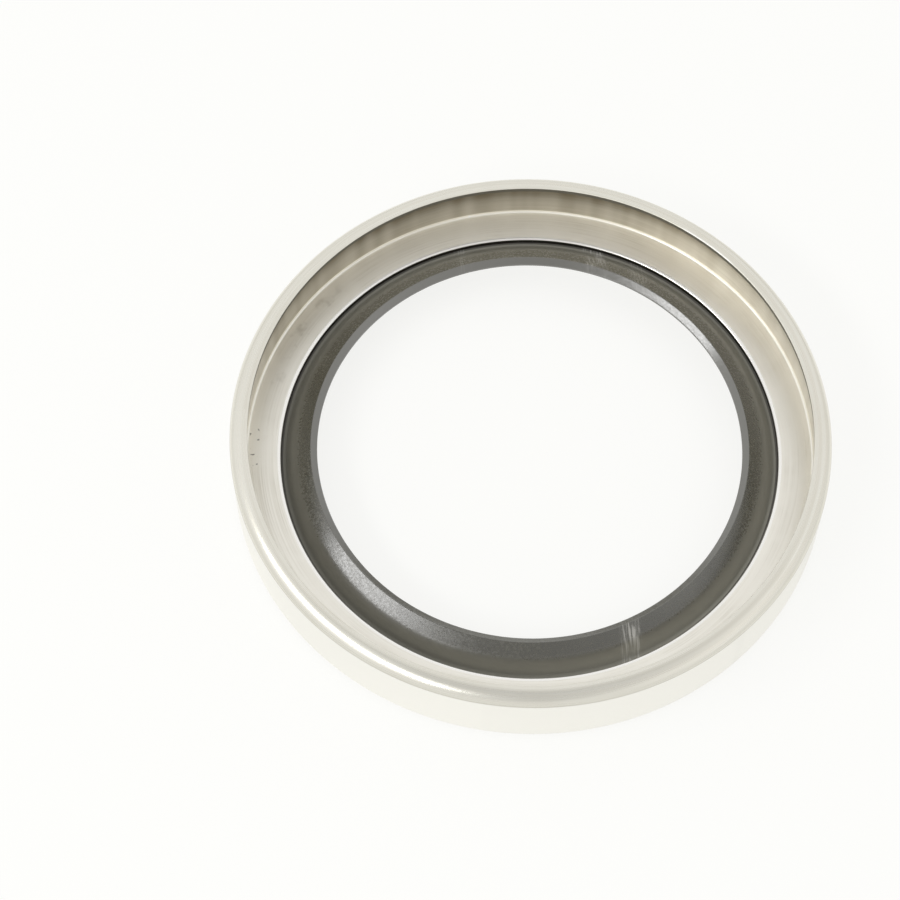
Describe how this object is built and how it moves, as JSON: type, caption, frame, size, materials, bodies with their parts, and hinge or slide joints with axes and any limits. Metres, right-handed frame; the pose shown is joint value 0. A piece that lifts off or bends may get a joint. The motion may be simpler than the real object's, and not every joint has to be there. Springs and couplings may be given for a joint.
{
  "type": "oil seal",
  "caption": "Radial shaft oil seal: nested steel cups with a rolled rim clamp a moulded rubber lip that seals a turning shaft.",
  "frame": {"origin": "on the seal's axis, in the plane of the outer case's flange that it stands on", "axes": "+Z along the shaft axis, from the flange towards the rolled rim and the open side of the lip; X and Y are free"},
  "size_m": [0.0732, 0.0732, 0.01],
  "materials": {
    "outer_case_steel": "plain drawn steel, satin, with fine turning marks",
    "inner_case_steel": "plain drawn steel, satin, with fine turning marks",
    "lip_rubber": "matt, dry, slightly dusty"
  },
  "bodies": {
    "root": {"outer_case": "outer_case_steel", "inner_case": "inner_case_steel", "sealing_lip": "lip_rubber"}
  },
  "joints": []
}
